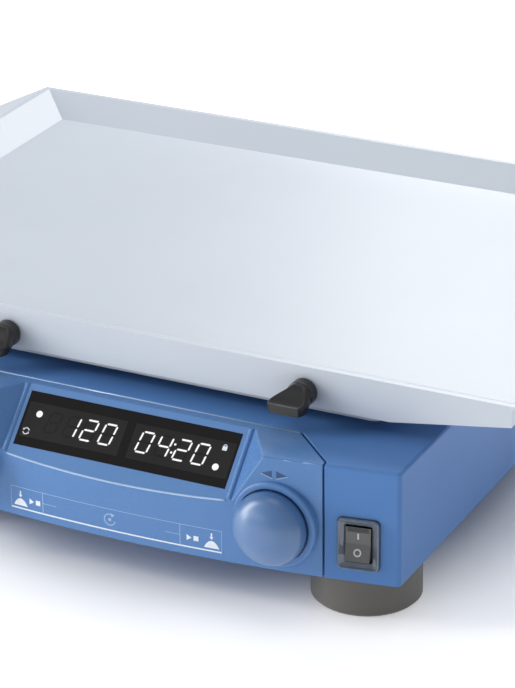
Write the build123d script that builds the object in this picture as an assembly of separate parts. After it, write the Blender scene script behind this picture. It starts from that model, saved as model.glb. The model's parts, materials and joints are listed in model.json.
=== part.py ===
"""Orbital shaker: table carried by a central eccentric shaft and four support cranks.

Millimetres, +Z up, front towards -Y.  The origin is on the surface that the feet stand on,
below the middle of the housing.
"""
import math
import os

from build123d import *

os.makedirs("parts", exist_ok=True)

# ---------------------------------------------------------------- driving dimensions
HOUSING_WIDTH = 270.0
HOUSING_DEPTH = 316.0
HOUSING_BOTTOM = 21.0
HOUSING_TOP = 76.0
HOUSING_WALL = 2.0
CORNER_RADIUS = 2.2
FRONT_RADIUS = 700.0            # plan radius of the bowed front
EDGE_RADIUS = 1.6

BASE_PLATE_THICK = 4.0
PLATE_SET_BACK = 5.0            # base plate's front edge behind the housing's
FOOT_RADIUS = 25.2
FOOT_X = 107.3
FOOT_Y = 118.6

PANEL_HALF = 100.4              # front panel insert
PANEL_BACK = -126.0
PANEL_CUT = 22.0                # 45 degree cut of its rear corners
PANEL_WALL = 3.0
BOSS_INSET = 9.0                # screw bosses, in from the panel's sides
BOSS_Z = (66.0, 31.0)
SEAM = 0.8
SOFT_EDGE = 1.1                 # rounding of the panel's visible edges
SEAM_EDGE = 0.6                 # rounding along the seam

SLOPE_TOP_Y = -131.2            # where the 45 degree display slope meets the top
SLOPE_HALF = 58.6
BEAD_X = 57.0                   # rounded bead along each side of the slope
BEAD_RADIUS = 1.6
BEAD_SINK = 0.8
CHEEK_ANGLE = 43.0              # lean of the cheeks beside the slope
WINDOW_SIZE = (107.4, 26.2)
WINDOW_THICK = 2.0
WINDOW_Y = -143.0

KNOB_X = 78.6
KNOB_Z = 43.8
KNOB_RADIUS = 17.1
KNOB_PUSH = 1.0
COLLAR_FRONT = -155.6
COLLAR_BACK = -149.9
COLLAR_RADIUS = 20.4

SWITCH_X = 116.8
SWITCH_Z = 39.9
SWITCH_COVER = (19.6, 25.2)
SWITCH_OPENING = (12.0, 17.8)
ROCKER_SIZE = (11.2, 15.7)
PIVOT_DEPTH = 1.6               # rocker pivot behind the housing's front
ROCKER_ANGLE = 10.0             # half of the rocker's swing

TABLE_Y = 21.5                  # centre of the table and of the main shaft
ECCENTRICITY = 2.0              # half of the 4 mm orbit
TABLE_BOTTOM = 82.0
TABLE_TOP = 92.8
TABLE_HALF_X = 112.0
LIP_TOP = 96.5

TRAY_HALF_X = 209.0             # to the inner edge of the rim
TRAY_HALF_Y = 134.0
SHEET = 1.5
WALL_RUN = 18.2
WALL_RISE = 8.7
RIM_WIDTH = 3.0
SKIRT_HALF = 173.5
SKIRT_FULL_HALF = 116.0
SKIRT_DEPTH = 18.8
SKIRT_END_DEPTH = 10.0
GRIP_OUT = 16.0
GRIP_DROP = 4.5
GRIP_TAPER = 32.0

CLAMP_X = 75.5
CLAMP_Z = 91.5
CLAMP_BOSS_RADIUS = 6.3

SUPPORT_X = 88.0
SUPPORT_DY = 88.0
PULLEY_Z = (52.0, 62.0)
MOTOR_Y = -65.0
PULLEY_RATIO = 4.0
MOTOR_PULLEY_RADIUS = 8.0
BELT_THICK = 1.5
BELT_GAP = 0.3                  # belt to pulley
BELT_MIDDLE = BELT_GAP + BELT_THICK / 2
DRIVEN_RADIUS = PULLEY_RATIO * (MOTOR_PULLEY_RADIUS + BELT_MIDDLE) - BELT_MIDDLE

RUN_FIT = 0.05                  # radial clearance of shafts in bearings
OPEN_FIT = 0.2                  # radial clearance of the open pivots

PLATE_TOP = HOUSING_BOTTOM + BASE_PLATE_THICK
FRONT_Y = -HOUSING_DEPTH / 2
BACK_Y = HOUSING_DEPTH / 2


# ---------------------------------------------------------------- helpers
def front_y(x, inset=0.0):
    """Y of the bowed front at x."""
    return FRONT_Y + inset + x * x / (2 * FRONT_RADIUS)


def block(x0, x1, y0, y1, z0, z1):
    return Pos((x0 + x1) / 2, (y0 + y1) / 2, (z0 + z1) / 2) * Box(x1 - x0, y1 - y0, z1 - z0)


def rod(x, y, z0, z1, r):
    return Pos(x, y, (z0 + z1) / 2) * Cylinder(r, z1 - z0)


def tube(x, y, z0, z1, outer, inner):
    return rod(x, y, z0, z1, outer) - rod(x, y, z0 - 1, z1 + 1, inner)


def rod_y(x, z, y0, y1, r):
    return Pos(x, (y0 + y1) / 2, z) * Rot(90, 0, 0) * Cylinder(r, y1 - y0)


def tube_y(x, z, y0, y1, outer, inner):
    return rod_y(x, z, y0, y1, outer) - rod_y(x, z, y0 - 1, y1 + 1, inner)


def prism(points, z0, z1):
    return extrude(Pos(0, 0, z0) * make_face(Polyline(points, close=True)), z1 - z0)


def side_prism(points, x0, x1):
    """Prism along X from (y, z) points."""
    face = make_face(Polyline([(x0, y, z) for y, z in points], close=True))
    return extrude(face, x1 - x0, dir=(1, 0, 0))


def front_prism(points, y0, y1):
    """Prism along Y from (x, z) points."""
    face = make_face(Polyline([(x, y0, z) for x, z in points], close=True))
    return extrude(face, y1 - y0, dir=(0, 1, 0))


def bowed_prism(half, rear, z0, z1, inset=0.0):
    """Vertical prism: bowed front from -half to half, then the rear points (x, y)."""
    edge_y = front_y(half, inset)
    arc = ThreePointArc((-half, edge_y), (0, front_y(0, inset)), (half, edge_y))
    rest = Polyline([(half, edge_y), *rear, (-half, edge_y)])
    face = make_face(arc.edges() + rest.edges())
    return extrude(Pos(0, 0, z0) * face, z1 - z0)


def group(items):
    return Compound(children=[solid for item in items for solid in item.solids()])


def save(name, shape):
    export_step(shape, f"parts/{name}.step")


# ---------------------------------------------------------------- housing and base
def panel_rear(grow=0.0):
    """Rear outline of the front panel in plan, from right to left."""
    half = PANEL_HALF + grow
    back = PANEL_BACK + grow
    inner = half - PANEL_CUT - grow * (math.sqrt(2) - 1)
    turn = back - PANEL_CUT - grow * (math.sqrt(2) - 1)
    return [(half, turn), (inner, back), (-inner, back), (-half, turn)]


def switch_plane():
    """Local frame of the power switch, normal to the bowed front."""
    lean = math.atan(SWITCH_X / FRONT_RADIUS)
    return Plane(
        origin=(SWITCH_X, front_y(SWITCH_X), SWITCH_Z),
        x_dir=(math.cos(lean), math.sin(lean), 0),
        z_dir=(math.sin(lean), -math.cos(lean), 0),
    )


def support_places():
    return [
        ("front_left", -SUPPORT_X, TABLE_Y - SUPPORT_DY),
        ("front_right", SUPPORT_X, TABLE_Y - SUPPORT_DY),
        ("rear_left", -SUPPORT_X, TABLE_Y + SUPPORT_DY),
        ("rear_right", SUPPORT_X, TABLE_Y + SUPPORT_DY),
    ]


INLET_X = -62.0
INLET_Z = 48.0
INLET_CUT = (52.0, 27.0)
SERIAL_X = 62.0
SERIAL_Z = 48.0
POWER_X = 5.0
POWER_Y = 114.0
TAB_PLACES = [(x, y) for x in (-126.0, 126.0) for y in (-70.0, 40.0, 145.0)]


def housing_shell():
    half = HOUSING_WIDTH / 2
    outer = bowed_prism(half, [(half, BACK_Y), (-half, BACK_Y)], HOUSING_BOTTOM, HOUSING_TOP)
    outer = fillet(outer.edges().filter_by(Axis.Z), CORNER_RADIUS)
    outer = fillet(outer.faces().sort_by(Axis.Z)[-1].edges(), EDGE_RADIUS)
    inside = half - HOUSING_WALL
    rear = BACK_Y - HOUSING_WALL
    cavity = bowed_prism(
        inside, [(inside, rear), (-inside, rear)],
        HOUSING_BOTTOM - 1, HOUSING_TOP - HOUSING_WALL, HOUSING_WALL
    )
    shell = outer - cavity
    for x, y in TAB_PLACES:
        inner_x = x - 5 if x > 0 else x + 5
        wall_x = inside if x > 0 else -inside
        tab = block(min(inner_x, wall_x), max(inner_x, wall_x), y - 6, y + 6, PLATE_TOP, PLATE_TOP + 2.5)
        shell += tab - rod(x, y, PLATE_TOP - 1, PLATE_TOP + 4, 2.05)
    shell -= bowed_prism(
        PANEL_HALF + SEAM, panel_rear(SEAM), HOUSING_BOTTOM - 2, HOUSING_TOP + 2, -5.0
    )
    side = PANEL_HALF + SEAM
    uprights = both_sides([(side, front_y(side), (HOUSING_BOTTOM + HOUSING_TOP) / 2)])
    shell = fillet(seam_edges(shell, SEAM) + edges_near(shell, uprights), SEAM_EDGE)
    for _, x, y in support_places():
        shell -= rod(x, y, HOUSING_TOP - 5, HOUSING_TOP + 5, 9.0)
    shell -= rod(0, TABLE_Y, HOUSING_TOP - 5, HOUSING_TOP + 5, 18.0)
    wide, high = INLET_CUT
    shell -= block(
        INLET_X - wide / 2, INLET_X + wide / 2, BACK_Y - 5, BACK_Y + 5, INLET_Z - high / 2, INLET_Z + high / 2
    )
    shell -= block(SERIAL_X - 10.5, SERIAL_X + 10.5, BACK_Y - 5, BACK_Y + 5, SERIAL_Z - 6, SERIAL_Z + 6)
    wide, high = SWITCH_COVER
    shell -= switch_plane() * Box(wide - 2.6, high - 2.6, 12)
    return shell


def base_plate():
    half = HOUSING_WIDTH / 2 - HOUSING_WALL - 0.3
    back = BACK_Y - HOUSING_WALL - 0.3
    plate = bowed_prism(half, [(half, back), (-half, back)], HOUSING_BOTTOM, PLATE_TOP, PLATE_SET_BACK)
    for x in (-FOOT_X, FOOT_X):
        for y in (-FOOT_Y, FOOT_Y):
            plate -= rod(x, y, HOUSING_BOTTOM - 1, PLATE_TOP + 1, 2.55)
    for x, y in TAB_PLACES:
        plate -= rod(x, y, HOUSING_BOTTOM - 1, PLATE_TOP + 1, 2.05)
        plate -= rod(x, y, HOUSING_BOTTOM - 1, HOUSING_BOTTOM + 2.0, 4.0)
    for x in (-PANEL_HALF + 1.5, PANEL_HALF - 1.5):
        plate -= block(x - 2.2, x + 2.2, -150, -144.4, HOUSING_BOTTOM - 1, PLATE_TOP + 1)
    for row in range(5):
        y = POWER_Y - 20 + row * 9
        plate -= block(POWER_X - 27, POWER_X + 27, y, y + 4, HOUSING_BOTTOM - 1, PLATE_TOP + 1)
    return plate


def foot(x, y):
    """Rubber foot with a chamfered tread and a recess for its screw head."""
    body = rod(x, y, 0, HOUSING_BOTTOM, FOOT_RADIUS)
    body = chamfer(body.edges().sort_by(Axis.Z)[0], 1.4)
    body -= rod(x, y, -1, 8.0, 7.0)
    return body - rod(x, y, -1, HOUSING_BOTTOM + 1, 2.6)


def foot_screw(x, y):
    head = rod(x, y, 4.6, 7.8, 4.8) - extrude(Pos(x, y, 4.6) * RegularPolygon(2.2, 6), 2.0)
    return head + rod(x, y, 7.8, PLATE_TOP + 3, 2.5)


def housing_screw(x, y):
    """Countersunk-style cap screw, flush with the underside of the base plate."""
    head = rod(x, y, HOUSING_BOTTOM + 0.1, HOUSING_BOTTOM + 2.0, 3.8)
    head -= extrude(Pos(x, y, HOUSING_BOTTOM + 0.1) * RegularPolygon(1.6, 6), 1.2)
    return head + rod(x, y, HOUSING_BOTTOM + 2.0, PLATE_TOP + 5, 2.0)


# ---------------------------------------------------------------- front panel and display
def slope_plane(offset=0.0):
    """Plane on the display slope; x to the right, y up the slope, z out of it."""
    z = HOUSING_TOP + (WINDOW_Y - SLOPE_TOP_Y)
    lift = offset / math.sqrt(2)
    return Plane(origin=(0, WINDOW_Y - lift, z + lift), x_dir=(1, 0, 0), z_dir=(0, -1, 1))


def slope_cut(depth=0.0, trim=0.0):
    """Wedge of air above the display slope, flaring into leaning cheeks."""
    half = SLOPE_HALF + trim
    face = make_face(Polyline([(-half, -80), (half, -80), (half, 80), (-half, 80)], close=True))
    return slope_plane(depth) * extrude(face, 45, taper=-CHEEK_ANGLE)


def edges_near(shape, points):
    """The edge of the shape whose middle is nearest to each point."""
    return [min(shape.edges(), key=lambda e: (e.center() - Vector(*p)).length) for p in points]


def both_sides(points):
    return [(side * x, y, z) for x, y, z in points for side in (-1, 1)]


def seam_edges(shape, grow):
    """Top edges along the panel's rear outline."""
    rear = panel_rear(grow)
    middle = ((rear[0][0] + rear[1][0]) / 2, (rear[0][1] + rear[1][1]) / 2, HOUSING_TOP)
    return edges_near(shape, both_sides([middle]) + [(0, rear[1][1], HOUSING_TOP)])


def panel_block():
    """Outer form of the panel with the display slope cut into it and soft edges."""
    block_form = bowed_prism(PANEL_HALF, panel_rear(), HOUSING_BOTTOM, HOUSING_TOP)
    block_form = fillet(seam_edges(block_form, 0.0), SEAM_EDGE)
    cut = block_form - slope_cut()
    side_drop = SLOPE_TOP_Y - front_y(SLOPE_HALF)
    ridge_x = SLOPE_HALF + side_drop / math.sqrt(2) * math.tan(math.radians(CHEEK_ANGLE))
    cheek_x = (SLOPE_HALF + ridge_x) / 2
    outer_x = (ridge_x + PANEL_HALF) / 2
    mid_y = SLOPE_TOP_Y - side_drop / 2
    mid_z = HOUSING_TOP - side_drop / 2
    ends = [
        (SLOPE_HALF, mid_y, mid_z),
        (cheek_x, front_y(cheek_x), mid_z),
        (cheek_x, mid_y, HOUSING_TOP),
        (outer_x, front_y(outer_x), HOUSING_TOP),
    ]
    lip_z = HOUSING_TOP - (SLOPE_TOP_Y - FRONT_Y)
    middle = [(0, FRONT_Y, lip_z), (0, SLOPE_TOP_Y, HOUSING_TOP)]
    return fillet(edges_near(cut, both_sides(ends) + middle), SOFT_EDGE)


def slope_bead(side):
    """Low rounded bead along one side of the slope, sunk so that only its crown shows."""
    length = (SLOPE_TOP_Y - front_y(BEAD_X)) * math.sqrt(2)
    top_y = (SLOPE_TOP_Y - WINDOW_Y) * math.sqrt(2)
    run = Pos(side * BEAD_X, top_y - length / 2, -BEAD_SINK) * Rot(90, 0, 0)
    return slope_plane() * run * Cylinder(BEAD_RADIUS, length)


def front_panel():
    outer = panel_block()
    envelope = bowed_prism(PANEL_HALF, panel_rear(), HOUSING_BOTTOM, HOUSING_TOP)
    for side in (-1, 1):
        outer += slope_bead(side) & envelope
    side = PANEL_HALF - PANEL_WALL
    room = bowed_prism(
        side, [(side, PANEL_BACK + 9), (-side, PANEL_BACK + 9)], HOUSING_BOTTOM - 1,
        HOUSING_TOP - PANEL_WALL, PANEL_WALL
    )
    room -= slope_cut(-PANEL_WALL, 1.3)
    panel = outer - room
    for x in (-KNOB_X, KNOB_X):
        collar = rod_y(x, KNOB_Z, COLLAR_FRONT, COLLAR_BACK, COLLAR_RADIUS)
        collar = fillet(collar.edges().sort_by(Axis.Y)[0], 1.5)
        panel += collar & block(-PANEL_HALF, PANEL_HALF, -170, -140, HOUSING_BOTTOM, HOUSING_TOP)
        panel += rod_y(x, KNOB_Z, -153.5, COLLAR_BACK, 17.0) & outer
        panel -= rod_y(x, KNOB_Z, COLLAR_FRONT - 5, COLLAR_FRONT + 2.8, KNOB_RADIUS + 0.5)
        panel -= rod_y(x, KNOB_Z, -160, -140, 4.2)
    panel -= slope_plane() * Pos(0, 0, -WINDOW_THICK / 2) * Box(
        WINDOW_SIZE[0] + 0.3, WINDOW_SIZE[1] + 0.3, WINDOW_THICK
    )
    panel -= slope_plane() * Pos(0, 0, -5) * Box(WINDOW_SIZE[0] - 4, WINDOW_SIZE[1] - 4, 10)
    for x in (-PANEL_HALF + BOSS_INSET, PANEL_HALF - BOSS_INSET):
        for z in BOSS_Z:
            panel += rod_y(x, z, front_y(x, 2.0), -139.0, 3.4) - rod_y(x, z, -146, -138, 1.25)
    return panel


def display_window():
    pane = Box(WINDOW_SIZE[0], WINDOW_SIZE[1], WINDOW_THICK)
    pane = fillet(pane.edges().filter_by(Axis.Z), 0.6)
    return slope_plane() * Pos(0, 0, -WINDOW_THICK / 2 + 0.1) * pane


LED_SIZE = (46.0, 18.0)
LED_X = 26.0
LED_TOP = -2.2                  # below the slope plane
LED_DEEP = 6.0


def led_module(side):
    """Four-digit display block with a shallow lens step."""
    wide, high = LED_SIZE
    body = Box(wide, high, LED_DEEP)
    body = chamfer(body.faces().sort_by(Axis.Z)[-1].edges(), 0.4)
    return slope_plane() * Pos(side * LED_X, 0, LED_TOP - LED_DEEP / 2) * body


def display_board():
    board = Box(104.0, 23.0, 1.6)
    holes = [Pos(x, 0, 0) * Cylinder(1.1, 3) for x in (-50.5, 50.5)]
    for hole in holes:
        board -= hole
    return slope_plane() * Pos(0, 0, LED_TOP - LED_DEEP - 0.8) * board


def status_leds():
    """Two 3 mm indicator lamps between the display blocks' outer ends and the window."""
    lamps = []
    for x, y in ((-49.9, 6.0), (50.6, -7.0)):
        lamps.append(slope_plane() * Pos(x, y, LED_TOP - 3.0) * Cylinder(0.7, LED_DEEP))
    return group(lamps)


# ---------------------------------------------------------------- knobs and encoders
ENCODER_BACK = -141.0


def knob(x):
    """Smooth domed knob, turned about Y, with a blind bore for the encoder shaft."""
    back = COLLAR_FRONT + 1.0
    waist = 4.1                 # from the back to the widest place
    dome = 11.0
    neck = KNOB_RADIUS - 0.9
    shoulder = (KNOB_RADIUS * 0.72, waist + dome * 0.7)
    face = make_face([
        Line((0, 0), (neck, 0)),
        ThreePointArc((neck, 0), (KNOB_RADIUS - 0.25, waist / 2), (KNOB_RADIUS, waist)),
        Spline([(KNOB_RADIUS, waist), shoulder, (0, waist + dome)], tangents=[(0, 1), (-1, 0)]),
        Line((0, waist + dome), (0, 0)),
    ])
    body = Pos(x, back, KNOB_Z) * Rot(180, 0, 0) * revolve(face, Axis.Y)
    body -= rod_y(x, KNOB_Z, back - 8.6, back + 1, 3.02)
    return body - tube_y(x, KNOB_Z, back - 1.6, back + 1, KNOB_RADIUS - 2.6, 6.0)


def encoder_shaft(x):
    shaft = rod_y(x, KNOB_Z, COLLAR_FRONT - 7.2, ENCODER_BACK - 2.0, 3.0)
    flat = block(x - 4, x + 4, COLLAR_FRONT - 8, COLLAR_FRONT - 1.0, KNOB_Z + 2.4, KNOB_Z + 4)
    return shaft - flat


def encoder_sleeve(x):
    return tube_y(x, KNOB_Z, -152.0, -147.6, 4.0, 3.0 + RUN_FIT)


def encoder_body(x):
    body = block(x - 6.5, x + 6.5, -149.0, ENCODER_BACK, KNOB_Z - 6.5, KNOB_Z + 6.5)
    body -= rod_y(x, KNOB_Z, -150, -147.6, 4.0)
    return body - rod_y(x, KNOB_Z, -147.7, ENCODER_BACK - 0.8, 5.4)


def encoder_rotor(x):
    """Contact disc that the flatted shaft turns and slides through."""
    disc = rod_y(x, KNOB_Z, -146.4, -143.4, 5.3)
    return disc - rod_y(x, KNOB_Z, -147, -143, 3.0 + RUN_FIT)


def control_board():
    """Upright board behind the panel; the two encoders stand on it."""
    board = block(-96.5, 96.5, ENCODER_BACK, ENCODER_BACK + 1.6, 25.5, 46.0)
    for x in (-KNOB_X, KNOB_X):
        ear_x0, ear_x1 = (x - 9, 96.5) if x > 0 else (-96.5, x + 9)
        board += block(ear_x0, ear_x1, ENCODER_BACK, ENCODER_BACK + 1.6, 45.9, 70.0)
    for x in (-PANEL_HALF + BOSS_INSET, PANEL_HALF - BOSS_INSET):
        for z in BOSS_Z:
            board -= rod_y(x, z, ENCODER_BACK - 2, ENCODER_BACK + 4, 3.6)
    return board


def panel_screws():
    """Screws through clamp plates that hold the panel's bosses to the board."""
    items = []
    for x in (-PANEL_HALF + BOSS_INSET, PANEL_HALF - BOSS_INSET):
        for z in BOSS_Z:
            head = rod_y(x, z, -139.0, -137.0, 4.4)
            items.append(head + rod_y(x, z, -145.0, -139.0, 1.2))
    return group(items)


# ---------------------------------------------------------------- power switch
def switch_cover():
    """Soft splash cover: a frame with a raised rim and a thin skin around the rocker."""
    wide, high = SWITCH_COVER
    rim = Box(wide, high, 2.2)
    rim = fillet(rim.edges().filter_by(Axis.Z), 2.6)
    rim = fillet(rim.faces().sort_by(Axis.Z)[-1].edges(), 0.9)
    opening = Box(SWITCH_OPENING[0] + 0.4, SWITCH_OPENING[1] + 0.4, 6)
    opening = fillet(opening.edges().filter_by(Axis.Z), 1.2)
    return switch_plane() * Pos(0, 0, 1.15) * (rim - opening)


def switch_body():
    wide, high = SWITCH_OPENING
    frame = Pos(0, 0, -8.05) * Box(SWITCH_COVER[0] - 3.0, SWITCH_COVER[1] - 3.0, 16.0)
    frame -= Pos(0, 0, -2.0) * Box(wide, high, 12.0)
    pins = [Pos(0, y, -19.0) * Box(6.3, 0.8, 6.0) for y in (-6, 0, 6)]
    for pin in pins:
        frame += pin
    for side in (-1, 1):
        frame -= Pos(side * wide / 2, 0, -PIVOT_DEPTH) * Rot(0, 90, 0) * Cylinder(1.05, 2.4)
    return switch_plane() * frame


def rocker():
    """Two-lobed rocker on its pivot pins, standing with the upper half pressed in."""
    wide, high = ROCKER_SIZE
    half = high / 2
    dip = half * math.tan(math.radians(ROCKER_ANGLE))
    top = 2.6
    points = [(-half, top), (0, top - dip), (half, top), (half - 1.5, -4.0), (-half + 1.5, -4.0)]
    face = make_face(Polyline([(-wide / 2, y, z) for y, z in points], close=True))
    body = extrude(face, wide, dir=(1, 0, 0))
    body += Pos(0, 0, -PIVOT_DEPTH) * Rot(0, 90, 0) * Cylinder(1.0, wide + 2.0)
    tilt = Pos(0, 0, -PIVOT_DEPTH) * Rot(-ROCKER_ANGLE, 0, 0) * Pos(0, 0, PIVOT_DEPTH)
    return switch_plane() * tilt * body


# ---------------------------------------------------------------- rear connectors
def inlet_body():
    """Mains inlet of the C14 pattern beside a bay for the fuse drawer."""
    wide, high = INLET_CUT
    x, z = INLET_X, INLET_Z
    half_x, half_z = wide / 2, high / 2
    flange = block(x - half_x - 4, x + half_x + 4, BACK_Y, BACK_Y + 2.5, z - half_z - 3, z + half_z + 3)
    flange = fillet(flange.edges().filter_by(Axis.Y), 3.0)
    half_x, half_z = half_x - 0.3, half_z - 0.3
    body = flange + block(x - half_x, x + half_x, BACK_Y - 24, BACK_Y + 0.1, z - half_z, z + half_z)
    cavity = block(x - 24.0, x + 0.5, BACK_Y - 18, BACK_Y + 5, z - 8.3, z + 8.3)
    cavity = chamfer(cavity.edges().filter_by(Axis.Y).group_by(Axis.Z)[0], 3.2)
    bay = block(x + 5.5, x + 23.5, BACK_Y - 20, BACK_Y + 5, z - 10.5, z + 10.5)
    return body - cavity - bay


def inlet_pins():
    x, z = INLET_X - 11.75, INLET_Z
    pins = []
    for dx, dz in ((-7.0, -2.0), (7.0, -2.0), (0.0, 2.0)):
        pin = block(x + dx - 1, x + dx + 1, BACK_Y - 18, BACK_Y - 3, z + dz - 2, z + dz + 2)
        tag = block(x + dx - 0.4, x + dx + 0.4, BACK_Y - 30, BACK_Y - 24, z + dz - 2, z + dz + 2)
        pins.append(pin)
        pins.append(tag)
    return group(pins)


def fuse_drawer():
    x, z = INLET_X + 14.5, INLET_Z
    body = block(x - 8.8, x + 8.8, BACK_Y - 19.5, BACK_Y + 2.4, z - 10.3, z + 10.3)
    for dz in (-5.0, 5.0):
        body -= rod_y(x, z + dz, BACK_Y - 21, BACK_Y - 1.0, 2.7)
        body -= block(x - 9.5, x, BACK_Y - 21, BACK_Y - 1.0, z + dz - 2.7, z + dz + 2.7)
    body += block(x - 6, x + 6, BACK_Y + 2.4, BACK_Y + 3.6, z + 7.5, z + 9.5)
    return body


def fuses():
    x, z = INLET_X + 14.5, INLET_Z
    return group([rod_y(x, z + dz, BACK_Y - 19.5, BACK_Y - 1.2, 2.6) for dz in (-5.0, 5.0)])


def serial_socket():
    """Nine-way D-shaped serial connector, female, with its two screw posts."""
    x, z = SERIAL_X, SERIAL_Z
    flange = block(x - 15.4, x + 15.4, BACK_Y, BACK_Y + 1.0, z - 6.2, z + 6.2)
    shell = front_prism(
        [(x - 8.3, z + 3.9), (x + 8.3, z + 3.9), (x + 7.0, z - 3.9), (x - 7.0, z - 3.9)],
        BACK_Y - 10, BACK_Y + 5.8
    )
    body = flange + shell
    for row, count in ((1.42, 5), (-1.42, 4)):
        for i in range(count):
            px = x + (i - (count - 1) / 2) * 2.76
            body -= rod_y(px, z + row, BACK_Y + 1, BACK_Y + 7, 0.6)
    for side in (-1, 1):
        post = extrude(RegularPolygon(2.6, 6), 4.0)
        body += Pos(x + side * 12.5, BACK_Y + 5.0, z) * Rot(90, 0, 0) * post
        body -= rod_y(x + side * 12.5, z, BACK_Y - 3, BACK_Y + 9, 1.4)
    return body


# ---------------------------------------------------------------- electronics
def power_board():
    x, y = POWER_X, POWER_Y
    board = block(x - 37, x + 37, y - 18, y + 18, 32.0, 33.6)
    for dx in (-33, 33):
        for dy in (-14, 14):
            board += rod(x + dx, y + dy, PLATE_TOP, 32.0, 3.0)
    return board


def power_parts():
    """Transformer, heat sink and smoothing capacitors of the power supply."""
    x, y = POWER_X, POWER_Y
    items = [block(x + 3, x + 31, y - 13, y + 13, 33.6, 58.0)]
    sink = block(x - 35, x - 15, y + 8, y + 14, 33.6, 54.0)
    for i in range(3):
        slot = x - 32 + i * 6
        sink -= block(slot, slot + 3, y + 10, y + 15, 35, 55)
    items.append(sink)
    for dx, dy, r, high in ((-7, -7, 6.0, 22.0), (-21, -7, 6.0, 22.0), (-7, 9, 4.0, 14.0)):
        items.append(rod(x + dx, y + dy, 33.6, 33.6 + high, r))
    return group(items)


# ---------------------------------------------------------------- drive
def bearing_block():
    y = TABLE_Y
    body = rod(0, y, PLATE_TOP, PLATE_TOP + 4, 34) + rod(0, y, PLATE_TOP + 4, 50, 21)
    for i in range(4):
        a = math.radians(45 + 90 * i)
        rib = Pos(0, y, 0) * Rot(0, 0, 45 + 90 * i) * block(19, 32, -2, 2, PLATE_TOP + 4, 42)
        body += rib
        body -= rod(28 * math.cos(a + math.pi / 4), y + 28 * math.sin(a + math.pi / 4), 20, 60, 2.1)
    return body - rod(0, y, 20, 60, 14.0)


def main_bearings():
    return group([tube(0, TABLE_Y, z, z + 8, 13.95, 6.0 + RUN_FIT) for z in (27.0, 41.5)])


def main_shaft():
    """Shaft with a crank web and the eccentric pin that carries the table."""
    y = TABLE_Y
    shaft = rod(0, y, 26.5, 71.0, 6.0) + rod(0, y, 71.0, 75.0, 11.0)
    return shaft + rod(ECCENTRICITY, y, 75.0, 91.0, 6.0)


def flanged_pulley(x, y, radius, bore):
    low, high = PULLEY_Z
    body = rod(x, y, low, high, radius)
    for z in (low, high - 1.0):
        body += rod(x, y, z, z + 1.0, radius + 2.0)
    return body - rod(x, y, low - 1, high + 1, bore)


def driven_pulley():
    body = flanged_pulley(0, TABLE_Y, DRIVEN_RADIUS, 6.02)
    ring = tube(0, TABLE_Y, PULLEY_Z[0] - 1, PULLEY_Z[0] + 4, 29.0, 12.0)
    return body - ring


def counterweight():
    """Half-disc opposite the eccentric pin."""
    y = TABLE_Y
    disc = rod(0, y, 62.5, 70.5, 33.0) - block(0, 40, y - 40, y + 40, 60, 75)
    disc += rod(0, y, 62.5, 70.5, 11.0)
    return disc - rod(0, y, 60, 75, 6.02)


def motor_body():
    y = MOTOR_Y
    body = rod(0, y, 27.0, 48.0, 30.0)
    body = fillet(body.edges().sort_by(Axis.Z)[0], 2.0)
    for i in range(12):
        a = math.radians(30 * i)
        fin = Pos(30 * math.cos(a), y + 30 * math.sin(a), 37) * Rot(0, 0, 30 * i) * Box(2.4, 5.0, 14.0)
        body -= fin
    return body - rod(0, y, 38.0, 49.0, 3.0 + RUN_FIT)


def motor_shaft():
    return rod(0, MOTOR_Y, 38.2, PULLEY_Z[1] + 0.6, 3.0)


def motor_pulley():
    return flanged_pulley(0, MOTOR_Y, MOTOR_PULLEY_RADIUS, 3.02)


MOTOR_POSTS = [(x, MOTOR_Y + dy) for x in (-33.0, 33.0) for dy in (-33.0, 33.0)]


def motor_bracket():
    plate = block(-39, 39, MOTOR_Y - 39, MOTOR_Y + 39, 48.0, 51.0)
    plate = fillet(plate.edges().filter_by(Axis.Z), 5.0)
    plate -= rod(0, MOTOR_Y, 40, 60, 8.0)
    for x, y in MOTOR_POSTS:
        plate -= rod(x, y, 40, 60, 2.05)
    for i in range(4):
        a = math.radians(90 * i)
        plate -= rod(20 * math.cos(a), MOTOR_Y + 20 * math.sin(a), 40, 60, 1.6)
    return plate


def motor_posts():
    items = []
    for x, y in MOTOR_POSTS:
        post = extrude(Pos(x, y, PLATE_TOP) * RegularPolygon(4.5, 6), 48.0 - PLATE_TOP)
        items.append(post + rod(x, y, 48.0, 51.0, 2.0))
    return group(items)


def belt_outline(grow):
    """Plan outline of the belt loop: both pulleys and their outer tangents."""
    big = DRIVEN_RADIUS + grow
    small = MOTOR_PULLEY_RADIUS + grow
    span = TABLE_Y - MOTOR_Y
    lean = math.asin((big - small) / span)
    cx, cz = math.cos(lean), math.sin(lean)
    big_right = (big * cx, TABLE_Y - big * cz)
    small_right = (small * cx, MOTOR_Y - small * cz)
    big_left = (-big_right[0], big_right[1])
    small_left = (-small_right[0], small_right[1])
    return make_face([
        Line(small_right, big_right),
        ThreePointArc(big_right, (0, TABLE_Y + big), big_left),
        Line(big_left, small_left),
        ThreePointArc(small_left, (0, MOTOR_Y - small), small_right),
    ])


def drive_belt():
    low, high = PULLEY_Z[0] + 1.3, PULLEY_Z[1] - 1.3
    outer = extrude(Pos(0, 0, low) * belt_outline(BELT_GAP + BELT_THICK), high - low)
    return outer - extrude(Pos(0, 0, low) * belt_outline(BELT_GAP), high - low)


def support_posts():
    items = []
    for _, x, y in support_places():
        post = rod(x, y, PLATE_TOP, PLATE_TOP + 3, 16) + rod(x, y, PLATE_TOP + 3, 66, 12)
        items.append(post - rod(x, y, 50, 70, 7.0) - rod(x, y, 58, 70, 9.5))
    return group(items)


def support_bearings():
    return group([tube(x, y, 58, 65, 9.45, 5.0 + RUN_FIT) for _, x, y in support_places()])


def support_crank(x, y):
    body = rod(x, y, 53, 67, 5.0) + rod(x, y, 67, 71, 8.0)
    return body + rod(x + ECCENTRICITY, y, 71, 90, 4.0)


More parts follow.
